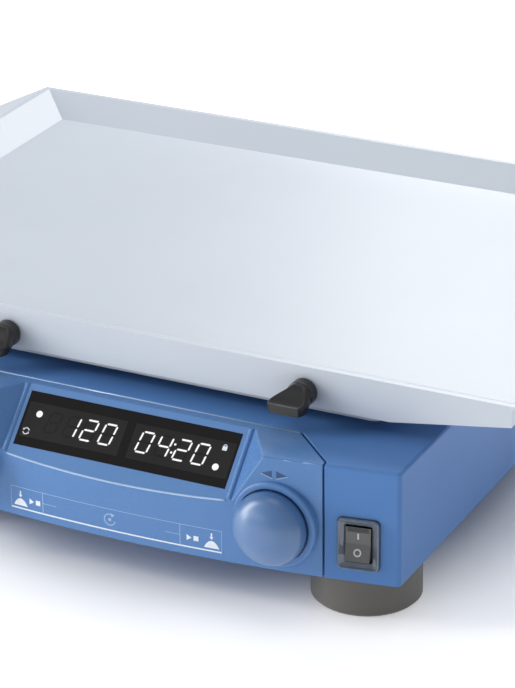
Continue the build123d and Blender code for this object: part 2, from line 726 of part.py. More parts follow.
# ---------------------------------------------------------------- table and tray
def table_plate():
    """Cast plate with a raised lip along its front and back edges."""
    front = TABLE_Y - TRAY_HALF_Y - 1.0
    back = TABLE_Y + TRAY_HALF_Y + 1.0
    plate = block(-TABLE_HALF_X, TABLE_HALF_X, front, back, TABLE_BOTTOM, TABLE_TOP)
    plate = fillet(plate.edges().filter_by(Axis.Z), 6.0)
    for edge, sign in ((front, 1), (back, -1)):
        profile = [(edge, TABLE_TOP - 1), (edge, LIP_TOP), (edge + sign * 5.0, LIP_TOP),
                   (edge + sign * 10.0, TABLE_TOP - 1)]
        plate += side_prism(profile, -TABLE_HALF_X + 7, TABLE_HALF_X - 7)
    for x in (-56.0, 56.0):
        for dy in (-52.0, 52.0):
            y = TABLE_Y + dy
            plate -= block(x - 24, x + 24, y - 30, y + 30, TABLE_BOTTOM - 1, TABLE_BOTTOM + 6)
    plate -= rod(ECCENTRICITY, TABLE_Y, TABLE_BOTTOM - 1, TABLE_TOP + 1, 14.0)
    for _, x, y in support_places():
        plate -= rod(x + ECCENTRICITY, y, TABLE_BOTTOM - 1, TABLE_TOP - 1.5, 8.0)
    for x in (-CLAMP_X, CLAMP_X):
        plate -= rod_y(x, CLAMP_Z, front - 1, front + 17, 2.5 + RUN_FIT)
        plate -= rod_y(x, CLAMP_Z, back - 14, back + 1, 2.55)
    return plate


def table_bearing():
    return tube(ECCENTRICITY, TABLE_Y, 82.4, 90.4, 13.95, 6.0 + RUN_FIT)


def table_bushings():
    return group([
        tube(x + ECCENTRICITY, y, TABLE_BOTTOM, TABLE_TOP - 1.5, 7.95, 4.0 + OPEN_FIT)
        for _, x, y in support_places()
    ])


def tray_floor_half():
    return TRAY_HALF_X - WALL_RUN, TRAY_HALF_Y - WALL_RUN


def pan_solid(drop, floor_x, floor_y, rim_x, rim_y, floor_z, rim_z):
    """Flared pan solid between a floor rectangle and a rim rectangle."""
    low = Pos(0, TABLE_Y, floor_z - drop) * Rectangle(2 * floor_x, 2 * floor_y)
    high = Pos(0, TABLE_Y, rim_z - drop) * Rectangle(2 * rim_x, 2 * rim_y)
    return loft([low.face(), high.face()])


def skirt(sign):
    """Front or back apron with cut-down ends and short side returns."""
    edge = TABLE_Y + sign * (TRAY_HALF_Y + RIM_WIDTH)
    top = TABLE_TOP + SHEET + WALL_RISE
    inner = edge - sign * SHEET
    points = [
        (-SKIRT_HALF, top), (SKIRT_HALF, top), (SKIRT_HALF, top - SKIRT_END_DEPTH),
        (SKIRT_FULL_HALF, top - SKIRT_DEPTH), (-SKIRT_FULL_HALF, top - SKIRT_DEPTH),
        (-SKIRT_HALF, top - SKIRT_END_DEPTH),
    ]
    apron = front_prism(points, min(edge, inner), max(edge, inner))
    for side in (-1, 1):
        x0 = side * SKIRT_HALF
        x1 = x0 - side * SHEET
        reach = edge - sign * 14.0
        low = top - SKIRT_END_DEPTH
        tab = [(edge, top), (edge, low), (edge - sign * 4.0, low), (reach, low + 3.4), (reach, low + 4.6)]
        apron += side_prism(tab, min(x0, x1), max(x0, x1))
    return apron


def grip(side):
    """Side flange that runs outwards and slightly down, tapered to the corners."""
    x0 = side * (TRAY_HALF_X + RIM_WIDTH - 1.0)
    x1 = side * (TRAY_HALF_X + RIM_WIDTH)
    x2 = side * (TRAY_HALF_X + RIM_WIDTH + GRIP_OUT)
    top = TABLE_TOP + SHEET + WALL_RISE
    half = TRAY_HALF_Y + RIM_WIDTH
    section = front_prism(
        [(x0, top), (x1, top), (x2, top - GRIP_DROP), (x2, top - GRIP_DROP - SHEET), (x1, top - SHEET),
         (x0, top - SHEET)],
        TABLE_Y - half, TABLE_Y + half
    )
    plan = prism(
        [(x0, TABLE_Y - half), (x1, TABLE_Y - half), (x2, TABLE_Y - half + GRIP_TAPER),
         (x2, TABLE_Y + half - GRIP_TAPER), (x1, TABLE_Y + half), (x0, TABLE_Y + half)],
        top - 20, top + 5
    )
    return section & plan


def tray_pan():
    """Folded sheet pan: flat floor, flared walls, flat rim, aprons and side grips."""
    floor_x, floor_y = tray_floor_half()
    floor_z = TABLE_TOP + SHEET
    rim_z = floor_z + WALL_RISE
    pitch = math.atan2(WALL_RISE, WALL_RUN)
    shift = SHEET * math.tan(pitch / 2)
    lean = SHEET / math.cos(pitch)
    outer = pan_solid(
        SHEET, floor_x + shift, floor_y + shift, TRAY_HALF_X + shift, TRAY_HALF_Y + shift, floor_z, rim_z
    )
    rim = block(
        -TRAY_HALF_X - RIM_WIDTH, TRAY_HALF_X + RIM_WIDTH, TABLE_Y - TRAY_HALF_Y - RIM_WIDTH,
        TABLE_Y + TRAY_HALF_Y + RIM_WIDTH, rim_z - SHEET, rim_z
    )
    above = 0.5
    spare = above / math.tan(pitch)
    inner = pan_solid(
        0, floor_x, floor_y, TRAY_HALF_X + spare, TRAY_HALF_Y + spare, floor_z, rim_z + above
    )
    pan = outer + rim - inner
    pan += skirt(-1)
    pan += skirt(1)
    pan += grip(-1)
    pan += grip(1)
    for x in (-CLAMP_X, CLAMP_X):
        pan -= rod_y(x, CLAMP_Z, TABLE_Y - TRAY_HALF_Y - 6, TABLE_Y - TRAY_HALF_Y - 0.5, 2.75)
        pan -= rod_y(x, CLAMP_Z, TABLE_Y + TRAY_HALF_Y + 0.5, TABLE_Y + TRAY_HALF_Y + 6, 2.75)
    return pan


def tray_pins():
    """Shoulder pins that locate the tray's back apron on the table."""
    items = []
    back = TABLE_Y + TRAY_HALF_Y
    for x in (-CLAMP_X, CLAMP_X):
        head = rod_y(x, CLAMP_Z, back + RIM_WIDTH + 0.1, back + RIM_WIDTH + 2.6, 5.0)
        head = fillet(head.edges().sort_by(Axis.Y)[-1], 0.8)
        items.append(head + rod_y(x, CLAMP_Z, back - 11, back + RIM_WIDTH + 0.1, 2.5))
    return group(items)


# ---------------------------------------------------------------- clamp screws
APRON_FRONT = TABLE_Y - TRAY_HALF_Y - RIM_WIDTH
WASHER_FRONT = APRON_FRONT - 0.8


def clamp_washer(x):
    return tube_y(x, CLAMP_Z, WASHER_FRONT, APRON_FRONT - 0.05, 5.6, 2.5 + RUN_FIT)


def clamp_stud(x):
    stud = rod_y(x, CLAMP_Z, WASHER_FRONT - 4.2, APRON_FRONT + 17.0, 2.5)
    return chamfer(stud.edges().sort_by(Axis.Y)[-1], 0.6)


def lever_section(x, y, left, right, low, high, corner):
    """Rounded rectangle across the lever at y; left and right are measured from its axis."""
    middle = (x + (left + right) / 2, y, (low + high) / 2)
    plane = Plane(origin=middle, x_dir=(1, 0, 0), z_dir=(0, -1, 0))
    return plane * RectangleRounded(right - left, high - low, corner)


def clamp_lever(x):
    """Round boss that flows into a flat wing, pointing forwards and to the left."""
    r = CLAMP_BOSS_RADIUS
    z = CLAMP_Z
    back = WASHER_FRONT - 0.05
    boss = rod_y(x, z, back - 5.6, back, r)
    boss = fillet(boss.edges().sort_by(Axis.Y)[0], 0.8)
    inner = r - 0.4
    sections = [
        lever_section(x, back - 3.0, -inner, inner, z - inner, z + inner, inner - 0.9),
        lever_section(x, back - 8.4, -8.4, 6.2, z - 6.1, z + 2.6, 3.2),
        lever_section(x, back - 12.6, -11.6, 6.2, z - 5.9, z - 0.6, 1.5),
        lever_section(x, back - 15.7, -10.2, 4.4, z - 5.6, z - 1.5, 1.0),
    ]
    wing = loft([section.face() for section in sections])
    return boss + wing - rod_y(x, z, back - 4.2, back + 1, 2.52)


# ---------------------------------------------------------------- build
def build_all():
    save("housing_shell", housing_shell())
    save("base_plate", base_plate())
    corners = [(x, y) for x in (-FOOT_X, FOOT_X) for y in (-FOOT_Y, FOOT_Y)]
    save("rubber_feet", group([foot(x, y) for x, y in corners]))
    save("foot_screws", group([foot_screw(x, y) for x, y in corners]))
    save("housing_screws", group([housing_screw(x, y) for x, y in TAB_PLACES]))
    save("front_panel", front_panel())
    save("display_window", display_window())
    save("display_board", display_board())
    save("led_module_speed", led_module(-1))
    save("led_module_time", led_module(1))
    save("status_leds", status_leds())
    save("control_board", control_board())
    save("panel_screws", panel_screws())
    save("encoder_bodies", group([encoder_body(-KNOB_X), encoder_body(KNOB_X)]))
    for name, x in (("left", -KNOB_X), ("right", KNOB_X)):
        save(f"knob_{name}", knob(x))
        save(f"encoder_shaft_{name}", encoder_shaft(x))
        save(f"encoder_sleeve_{name}", encoder_sleeve(x))
        save(f"encoder_rotor_{name}", encoder_rotor(x))
    save("switch_cover", switch_cover())
    save("switch_body", switch_body())
    save("rocker", rocker())
    save("inlet_body", inlet_body())
    save("inlet_pins", inlet_pins())
    save("fuse_drawer", fuse_drawer())
    save("fuses", fuses())
    save("serial_socket", serial_socket())
    save("power_board", power_board())
    save("power_parts", power_parts())
    save("bearing_block", bearing_block())
    save("main_bearings", main_bearings())
    save("main_shaft", main_shaft())
    save("driven_pulley", driven_pulley())
    save("counterweight", counterweight())
    save("motor_body", motor_body())
    save("motor_shaft", motor_shaft())
    save("motor_pulley", motor_pulley())
    save("motor_bracket", motor_bracket())
    save("motor_posts", motor_posts())
    save("drive_belt", drive_belt())
    save("support_posts", support_posts())
    save("support_bearings", support_bearings())
    for name, x, y in support_places():
        save(f"support_crank_{name}", support_crank(x, y))
    save("table_plate", table_plate())
    save("table_bearing", table_bearing())
    save("table_bushings", table_bushings())
    save("tray_pan", tray_pan())
    save("tray_pins", tray_pins())
    for name, x in (("left", -CLAMP_X), ("right", CLAMP_X)):
        save(f"clamp_washer_{name}", clamp_washer(x))
        save(f"clamp_stud_{name}", clamp_stud(x))
        save(f"clamp_lever_{name}", clamp_lever(x))


build_all()
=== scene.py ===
"""Looks of the orbital shaker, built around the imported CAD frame.  Metres, +Z up, front towards -Y."""
import json
import math

import bmesh
import bpy
from mathutils import Matrix, Vector


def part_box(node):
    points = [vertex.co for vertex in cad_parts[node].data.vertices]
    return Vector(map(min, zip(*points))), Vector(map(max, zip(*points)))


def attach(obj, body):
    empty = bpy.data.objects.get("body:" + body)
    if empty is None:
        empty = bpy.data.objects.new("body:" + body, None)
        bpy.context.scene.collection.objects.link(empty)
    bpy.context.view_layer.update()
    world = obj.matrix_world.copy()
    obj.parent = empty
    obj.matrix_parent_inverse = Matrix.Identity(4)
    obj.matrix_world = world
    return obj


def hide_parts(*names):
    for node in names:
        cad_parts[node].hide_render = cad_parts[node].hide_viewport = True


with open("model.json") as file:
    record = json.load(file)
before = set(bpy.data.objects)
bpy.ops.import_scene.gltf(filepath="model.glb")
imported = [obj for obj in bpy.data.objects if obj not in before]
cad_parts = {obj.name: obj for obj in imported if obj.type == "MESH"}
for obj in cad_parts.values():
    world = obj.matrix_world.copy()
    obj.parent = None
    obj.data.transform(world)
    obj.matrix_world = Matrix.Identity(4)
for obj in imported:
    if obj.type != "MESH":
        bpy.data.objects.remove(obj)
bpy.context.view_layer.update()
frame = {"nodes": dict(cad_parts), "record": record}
nodes = frame["nodes"]

# ---------------------------------------------------------------- sizes taken from the frame
MM = 0.001
INK = 0.06 * MM                    # thickness of printed marks
panel_low, panel_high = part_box("front_panel")
window_low, window_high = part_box("display_window")
cover_low, cover_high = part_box("switch_cover")
FRONT_RADIUS = 0.700               # plan radius of the bowed front
BOW_Y = panel_low.y                # the front at x = 0

WINDOW_LENGTH = 26.2 * MM          # along the slope
PANE = (window_high.y - window_low.y) * math.sqrt(2) - WINDOW_LENGTH    # the glass's thickness
PANE_PROUD = 0.1 * MM              # the glass stands this far out of the slope
SLOPE_UP = Vector((0, 1, 1)).normalized()
SLOPE_OUT = Vector((0, -1, 1)).normalized()
WINDOW_FACE = (window_low + window_high) / 2 + SLOPE_OUT * PANE / 2


# ---------------------------------------------------------------- mesh helpers
def add_object(name, data, body, material):
    piece = bpy.data.objects.new(name, data)
    bpy.context.scene.collection.objects.link(piece)
    data.materials.append(material)
    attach(piece, body)
    return piece


def mesh_from(name, verts, faces):
    data = bpy.data.meshes.new(name)
    data.from_pydata([tuple(v) for v in verts], [], faces)
    data.update()
    return data


def plate_mesh(name, outlines, place, thick):
    """Thin closed plates: each outline is a list of (u, v); place(u, v, h) gives the point."""
    verts = []
    faces = []
    for outline in outlines:
        n = len(outline)
        start = len(verts)
        verts += [place(u, v, 0.0) for u, v in outline]
        verts += [place(u, v, thick) for u, v in outline]
        faces.append([start + i for i in reversed(range(n))])
        faces.append([start + n + i for i in range(n)])
        for i in range(n):
            j = (i + 1) % n
            faces.append([start + i, start + j, start + n + j, start + n + i])
    data = mesh_from(name, verts, faces)
    fix = bmesh.new()
    fix.from_mesh(data)
    bmesh.ops.recalc_face_normals(fix, faces=fix.faces)
    fix.to_mesh(data)
    fix.free()
    return data


def ring_outlines(cu, cv, outer, inner, steps=40, start=0.0, sweep=2 * math.pi):
    """A ring, or a part of one, as a run of four-cornered plates."""
    quads = []
    for i in range(steps):
        a = start + sweep * i / steps
        b = start + sweep * (i + 1) / steps
        quads.append([
            (cu + outer * math.cos(a), cv + outer * math.sin(a)),
            (cu + outer * math.cos(b), cv + outer * math.sin(b)),
            (cu + inner * math.cos(b), cv + inner * math.sin(b)),
            (cu + inner * math.cos(a), cv + inner * math.sin(a)),
        ])
    return quads


def disc_outline(cu, cv, r, steps=32):
    return [
        (cu + r * math.cos(2 * math.pi * i / steps), cv + r * math.sin(2 * math.pi * i / steps))
        for i in range(steps)
    ]


def rounded_outline(cu, cv, wide, high, r, steps=8):
    points = []
    for sx, sy, a0 in ((1, 1, 0), (-1, 1, 90), (-1, -1, 180), (1, -1, 270)):
        for i in range(steps + 1):
            a = math.radians(a0 + 90 * i / steps)
            points.append((
                cu + sx * (wide / 2 - r) + r * math.cos(a),
                cv + sy * (high / 2 - r) + r * math.sin(a),
            ))
    return points


def bar_outlines(u0, u1, v0, v1, steps=1):
    """A bar along u, cut into steps so that it can follow the bowed front."""
    cuts = [u0 + (u1 - u0) * i / steps for i in range(steps + 1)]
    return [[(a, v0), (b, v0), (b, v1), (a, v1)] for a, b in zip(cuts, cuts[1:])]


# ---------------------------------------------------------------- surfaces that marks lie on
def on_window(u, v, h):
    """u from the window's middle to the right, v up the slope, h out of the glass."""
    return WINDOW_FACE + Vector((u, 0, 0)) + SLOPE_UP * v + SLOPE_OUT * h


def front_y(x):
    """The bowed front's y at x."""
    return BOW_Y + x * x / (2 * FRONT_RADIUS)


def on_front(x, z, h):
    """A point on the bowed front, h in front of it."""
    lean = x / FRONT_RADIUS
    return Vector((x + h * math.sin(lean), front_y(x) - h * math.cos(lean), z))


# ---------------------------------------------------------------- materials
def new_material(name):
    material = bpy.data.materials.new(name)
    material.use_nodes = True
    tree = material.node_tree
    shader = tree.nodes["Principled BSDF"]
    return material, tree, shader


def object_noise(tree, scale, detail=4.0):
    coords = tree.nodes.new("ShaderNodeTexCoord")
    noise = tree.nodes.new("ShaderNodeTexNoise")
    noise.inputs["Scale"].default_value = scale
    noise.inputs["Detail"].default_value = detail
    noise.inputs["Roughness"].default_value = 0.55
    tree.links.new(coords.outputs["Object"], noise.inputs["Vector"])
    return noise


def vary_color(tree, shader, noise, dark, light):
    ramp = tree.nodes.new("ShaderNodeValToRGB")
    ramp.color_ramp.elements[0].position = 0.35
    ramp.color_ramp.elements[0].color = (*dark, 1)
    ramp.color_ramp.elements[1].position = 0.65
    ramp.color_ramp.elements[1].color = (*light, 1)
    tree.links.new(noise.outputs["Fac"], ramp.inputs["Fac"])
    tree.links.new(ramp.outputs["Color"], shader.inputs["Base Color"])


def vary_roughness(tree, shader, noise, low, high):
    spread = tree.nodes.new("ShaderNodeMapRange")
    spread.inputs["From Min"].default_value = 0.3
    spread.inputs["From Max"].default_value = 0.7
    spread.inputs["To Min"].default_value = low
    spread.inputs["To Max"].default_value = high
    tree.links.new(noise.outputs["Fac"], spread.inputs["Value"])
    tree.links.new(spread.outputs["Result"], shader.inputs["Roughness"])


def add_bump(tree, shader, noise, strength, distance):
    bump = tree.nodes.new("ShaderNodeBump")
    bump.inputs["Strength"].default_value = strength
    bump.inputs["Distance"].default_value = distance
    tree.links.new(noise.outputs["Fac"], bump.inputs["Height"])
    tree.links.new(bump.outputs["Normal"], shader.inputs["Normal"])


def grained(name, dark, light, rough, grain_scale, grain_depth, cloud_scale=14.0, coat=0.0,
            coat_rough=0.12, metal=0.0, specular=0.5):
    """Fine surface grain over a slow drift in tone; covers paints, plastics, rubber and cast metal."""
    material, tree, shader = new_material(name)
    cloud = object_noise(tree, cloud_scale, 3.0)
    grain = object_noise(tree, grain_scale, 3.0)
    vary_color(tree, shader, cloud, dark, light)
    vary_roughness(tree, shader, grain, rough[0], rough[1])
    add_bump(tree, shader, grain, 0.35, grain_depth)
    shader.inputs["Metallic"].default_value = metal
    shader.inputs["Specular IOR Level"].default_value = specular
    if coat:
        shader.inputs["Coat Weight"].default_value = coat
        shader.inputs["Coat Roughness"].default_value = coat_rough
    return material


def brushed(name, dark, light, rough):
    """Machined or drawn metal: fine streaks along one direction."""
    material, tree, shader = new_material(name)
    coords = tree.nodes.new("ShaderNodeTexCoord")
    stretch = tree.nodes.new("ShaderNodeMapping")
    stretch.inputs["Scale"].default_value = (60, 60, 1500)
    noise = tree.nodes.new("ShaderNodeTexNoise")
    noise.inputs["Scale"].default_value = 2.0
    noise.inputs["Detail"].default_value = 4.0
    tree.links.new(coords.outputs["Object"], stretch.inputs["Vector"])
    tree.links.new(stretch.outputs["Vector"], noise.inputs["Vector"])
    vary_color(tree, shader, noise, dark, light)
    vary_roughness(tree, shader, noise, rough[0], rough[1])
    add_bump(tree, shader, noise, 0.2, 0.02 * MM)
    shader.inputs["Metallic"].default_value = 1.0
    return material


def lit_print(name, color, glow):
    """Printed or glowing marks with slightly uneven ink."""
    material, tree, shader = new_material(name)
    noise = object_noise(tree, 900.0)
    vary_color(tree, shader, noise, tuple(0.88 * c for c in color), color)
    shader.inputs["Roughness"].default_value = 0.45
    if glow:
        shader.inputs["Emission Color"].default_value = (1.0, 0.99, 0.97, 1)
        shader.inputs["Emission Strength"].default_value = glow
    return material


def board_material():
    """Lacquered circuit board with copper tracks."""
    material, tree, shader = new_material("circuit_board")
    coords = tree.nodes.new("ShaderNodeTexCoord")
    tracks = tree.nodes.new("ShaderNodeTexBrick")
    tracks.inputs["Scale"].default_value = 160.0
    tracks.inputs["Color1"].default_value = (0.012, 0.10, 0.045, 1)
    tracks.inputs["Color2"].default_value = (0.016, 0.13, 0.06, 1)
    tracks.inputs["Mortar"].default_value = (0.03, 0.20, 0.09, 1)
    tracks.inputs["Mortar Size"].default_value = 0.06
    tree.links.new(coords.outputs["Object"], tracks.inputs["Vector"])
    tree.links.new(tracks.outputs["Color"], shader.inputs["Base Color"])
    noise = object_noise(tree, 700.0)
    vary_roughness(tree, shader, noise, 0.25, 0.4)
    return material


def clear_grey_material():
    """Soft translucent splash cover."""
    material, tree, shader = new_material("clear_grey")
    noise = object_noise(tree, 500.0)
    vary_color(tree, shader, noise, (0.16, 0.20, 0.26), (0.19, 0.235, 0.30))
    vary_roughness(tree, shader, noise, 0.08, 0.14)
    add_bump(tree, shader, noise, 0.15, 0.01 * MM)
    shader.inputs["Alpha"].default_value = 0.62
    shader.inputs["Specular IOR Level"].default_value = 0.9
    shader.inputs["Coat Weight"].default_value = 0.6
    shader.inputs["Coat Roughness"].default_value = 0.06
    return material


materials = {
    "housing_blue": grained("housing_blue", (0.084, 0.202, 0.470), (0.092, 0.214, 0.492), (0.30, 0.38),
                            2600.0, 0.005 * MM, specular=0.15),
    "panel_blue": grained("panel_blue", (0.090, 0.212, 0.462), (0.100, 0.226, 0.485), (0.24, 0.32),
                          3200.0, 0.005 * MM, coat=0.1, specular=0.3),
    # the lips' lighter, glossier blue is a painted highlight along the panel's edges
    "lip_painted_highlight": grained("lip_painted_highlight", (0.34, 0.49, 0.72), (0.40, 0.55, 0.77), (0.12, 0.18),
                         3200.0, 0.004 * MM, coat=0.8),
    "knob_blue": grained("knob_blue", (0.066, 0.160, 0.36), (0.073, 0.172, 0.38), (0.34, 0.42),
                         3200.0, 0.005 * MM, coat=0.8, coat_rough=0.3),
    "tray_white": grained("tray_white", (0.530, 0.580, 0.648), (0.550, 0.600, 0.668), (0.28, 0.36),
                          1500.0, 0.012 * MM, cloud_scale=9.0),
    "foot_rubber": grained("foot_rubber", (0.105, 0.099, 0.09), (0.135, 0.127, 0.115), (0.42, 0.54),
                           1800.0, 0.03 * MM),
    "black_plastic": grained("black_plastic", (0.010, 0.010, 0.011), (0.016, 0.016, 0.018), (0.26, 0.38),
                             2600.0, 0.02 * MM),
    "display_glass": grained("display_glass", (0.006, 0.005, 0.005), (0.008, 0.0065, 0.0065), (0.12, 0.18),
                             400.0, 0.002 * MM, specular=0.11),
    "led_black": grained("led_black", (0.014, 0.0135, 0.0135), (0.018, 0.0175, 0.0175), (0.35, 0.45),
                         2400.0, 0.01 * MM, specular=0.12),
    "led_off": grained("led_off", (0.005, 0.005, 0.005), (0.007, 0.007, 0.007), (0.3, 0.4),
                       2400.0, 0.01 * MM, specular=0.15),
    "led_white": lit_print("led_white", (0.75, 0.75, 0.75), 0.30),
    "print_white": lit_print("print_white", (0.80, 0.86, 0.92), 0.0),
    # pale blue: print on the strip, and a painted highlight on the turn marks' lower edges
    "pale_print_and_highlight": lit_print("pale_print_and_highlight", (0.34, 0.50, 0.72), 0.0),
    # dark blue: painted shade inside the engraved turn marks
    "engraving_painted_shade": lit_print("engraving_painted_shade", (0.028, 0.085, 0.22), 0.0),
    "print_grey": lit_print("print_grey", (0.55, 0.56, 0.57), 0.0),
    "gasket_dark": grained("gasket_dark", (0.010, 0.02, 0.045), (0.014, 0.026, 0.055), (0.4, 0.5),
                           2600.0, 0.01 * MM),
    "rocker_grey": grained("rocker_grey", (0.085, 0.085, 0.085), (0.115, 0.115, 0.115), (0.3, 0.42),
                           2600.0, 0.02 * MM),
    "circuit_board": board_material(),
    "steel": brushed("steel", (0.42, 0.42, 0.43), (0.56, 0.56, 0.57), (0.22, 0.38)),
    "brass": brushed("brass", (0.50, 0.36, 0.14), (0.62, 0.46, 0.2), (0.25, 0.4)),
    "fuse_glass": grained("fuse_glass", (0.5, 0.55, 0.55), (0.6, 0.64, 0.64), (0.05, 0.1),
                          600.0, 0.002 * MM),
    "cast_aluminium": grained("cast_aluminium", (0.42, 0.43, 0.44), (0.52, 0.53, 0.54), (0.38, 0.55),
                              1100.0, 0.06 * MM, metal=1.0),
    "motor_paint": grained("motor_paint", (0.02, 0.02, 0.022), (0.03, 0.03, 0.033), (0.35, 0.5),
                           1500.0, 0.03 * MM),
    "belt_rubber": grained("belt_rubber", (0.012, 0.012, 0.012), (0.02, 0.02, 0.02), (0.6, 0.75),
                           1800.0, 0.03 * MM),
    "clear_grey": clear_grey_material(),
}


def assign_cad_materials():
    for entry in frame["record"]["subparts"]:
        piece = nodes[entry["node"]]
        piece.data.materials.clear()
        piece.data.materials.append(materials[entry["material_slot"]])


# ---------------------------------------------------------------- display
DIGIT_HIGH = 10.6 * MM
DIGIT_WIDE = 6.6 * MM
DIGIT_SLANT = math.tan(math.radians(9))
STROKE = 0.86 * MM
SEGMENTS_LIT = {"0": "abcdef", "1": "bc", "2": "abged", "4": "fgbc", "8": "abcdefg"}
# middle of each digit in millimetres, and its figure
LEFT_DIGITS = [(-37.7, " "), (-28.2, "1"), (-19.2, "2"), (-9.7, "0")]
RIGHT_DIGITS = [(9.3, "0"), (18.8, "4"), (28.0, "2"), (37.3, "0")]
FIELD_WIDE = 50.4 * MM             # the lighter field behind four digits
FIELD_HIGH = 17.0 * MM
FIELD_MIDDLES = (-27.2 * MM, 27.5 * MM)
FIELD_V = -0.4 * MM
COLON_U = 23.6 * MM
COLON_V = 2.0 * MM
COLON_RADIUS = 0.55 * MM
LAMPS = [(-45.9 * MM, 2.8 * MM), (46.1 * MM, -4.3 * MM)]
LAMP_RADIUS = 1.6 * MM


def segment_outlines():
    """The seven strokes of a digit with pointed ends, centred on the digit's middle."""
    w, h, s = DIGIT_WIDE / 2, DIGIT_HIGH / 2, STROKE / 2
    gap = 0.32 * MM

    def flat(v):
        a, b = -w + s + gap, w - s - gap
        return [(a, v), (a + s, v + s), (b - s, v + s), (b, v), (b - s, v - s), (a + s, v - s)]

    def upright(u, v0, v1):
        a, b = v0 + gap, v1 - gap
        return [(u, a), (u + s, a + s), (u + s, b - s), (u, b), (u - s, b - s), (u - s, a + s)]

    left, right, top, low = -w + s, w - s, h - s, -h + s
    return {
        "a": flat(top), "g": flat(0.0), "d": flat(low),
        "f": upright(left, 0, top), "b": upright(right, 0, top),
        "e": upright(left, low, 0), "c": upright(right, low, 0),
    }


def digit_strokes(centre, letters):
    slanted = []
    for key, outline in segment_outlines().items():
        if key in letters:
            slanted.append([(centre + u + v * DIGIT_SLANT, v) for u, v in outline])
    return slanted


def build_display():
    fields = [rounded_outline(u, FIELD_V, FIELD_WIDE, FIELD_HIGH, 0.5 * MM) for u in FIELD_MIDDLES]
    data = plate_mesh("display_fields", fields, on_window, INK)
    add_object("display_fields", data, "base", materials["led_black"])
    lit = []
    unlit = []
    for centre, figure in LEFT_DIGITS + RIGHT_DIGITS:
        on = SEGMENTS_LIT.get(figure, "")
        off = "".join(k for k in SEGMENTS_LIT["8"] if k not in on)
        lit += digit_strokes(centre * MM, on)
        unlit += digit_strokes(centre * MM, off)
    for v in (-COLON_V, COLON_V):
        lit.append(disc_outline(COLON_U + v * DIGIT_SLANT, v, COLON_RADIUS, 16))
    for u, v in LAMPS:
        lit.append(disc_outline(u, v, LAMP_RADIUS))

    def raised(u, v, h):
        return on_window(u, v, h + INK)

    add_object("display_lit", plate_mesh("display_lit", lit, raised, INK), "base",
               materials["led_white"])
    add_object("display_unlit", plate_mesh("display_unlit", unlit, raised, INK / 2), "base",
               materials["led_off"])
    build_display_symbols(raised)


def build_display_symbols(raised):
    """Plain pictograms: a turning arrow at the lower left and a padlock at the upper right."""
    marks = []
    turn_u = -49.6 * MM
    turn_v = -6.2 * MM
    sweep = math.radians(130)
    for start in (math.radians(20), math.radians(200)):
        marks += ring_outlines(turn_u, turn_v, 1.7 * MM, 1.25 * MM, 10, start, sweep)
        tip = start + sweep
        tip_u = turn_u + 1.48 * MM * math.cos(tip)
        tip_v = turn_v + 1.48 * MM * math.sin(tip)
        marks.append([
            (tip_u + 0.7 * MM * math.cos(tip + a), tip_v + 0.7 * MM * math.sin(tip + a))
            for a in (0, 2.1, 4.2)
        ])
    lock_u = 47.6 * MM
    lock_v = 5.2 * MM
    marks.append(rounded_outline(lock_u, lock_v - 0.3 * MM, 2.3 * MM, 2.0 * MM, 0.3 * MM))
    marks += ring_outlines(lock_u, lock_v + 0.7 * MM, 0.95 * MM, 0.6 * MM, 10, 0.0, math.pi)
    add_object("display_symbols", plate_mesh("display_symbols", marks, raised, INK), "base",
               materials["print_white"])


# ---------------------------------------------------------------- printed strip under the display
STRIP_LOW = 24.9 * MM
STRIP_HIGH = 35.5 * MM
STRIP_HALF = 53.7 * MM
DIVIDER_LEFT = -36.6 * MM
DIVIDER_RIGHT = 33.6 * MM


def push_icon(x, z):
    """Knob seen from the side, with an arrow pressing on it."""
    half = 3.7 * MM
    high = 3.6 * MM
    mound = [(x - half, z), (x + half, z)]
    for i in range(1, 8):
        t = i / 8
        mound.append((x + half * (1 - 2 * t), z + high * math.sin(math.pi * t) ** 0.8))
    stem = [(x - 0.35 * MM, z + 5.0 * MM), (x + 0.35 * MM, z + 5.0 * MM),
            (x + 0.35 * MM, z + 7.4 * MM), (x - 0.35 * MM, z + 7.4 * MM)]
    head = [(x, z + 4.1 * MM), (x + 0.95 * MM, z + 5.5 * MM), (x - 0.95 * MM, z + 5.5 * MM)]
    return [mound, stem, head]


def build_strip():
    white = bar_outlines(-STRIP_HALF, STRIP_HALF, STRIP_LOW - 0.35 * MM, STRIP_LOW + 0.35 * MM, 36)
    pale = bar_outlines(-STRIP_HALF, STRIP_HALF, STRIP_HIGH - 0.13 * MM, STRIP_HIGH + 0.13 * MM, 36)
    for x in (DIVIDER_LEFT, DIVIDER_RIGHT):
        pale += bar_outlines(x - 0.15 * MM, x + 0.15 * MM, STRIP_LOW, STRIP_HIGH)
    for x in (-STRIP_HALF, STRIP_HALF):
        pale += bar_outlines(x - 0.1 * MM, x + 0.1 * MM, STRIP_LOW, STRIP_HIGH)
    for x in (-48.6 * MM, 48.9 * MM):
        white += push_icon(x, STRIP_LOW + 1.4 * MM)
    z = 29.6 * MM
    for x in (-41.2 * MM, 39.4 * MM):
        white.append([(x - 2.6 * MM, z - 1.5 * MM), (x - 0.2 * MM, z), (x - 2.6 * MM, z + 1.5 * MM)])
        white += bar_outlines(x + 0.8 * MM, x + 3.2 * MM, z - 1.2 * MM, z + 1.2 * MM)
    add_object("strip_white", plate_mesh("strip_white", white, on_front, INK), "base",
               materials["print_white"])
    build_orbit_mark(pale)
    add_object("strip_pale", plate_mesh("strip_pale", pale, on_front, INK), "base",
               materials["pale_print_and_highlight"])


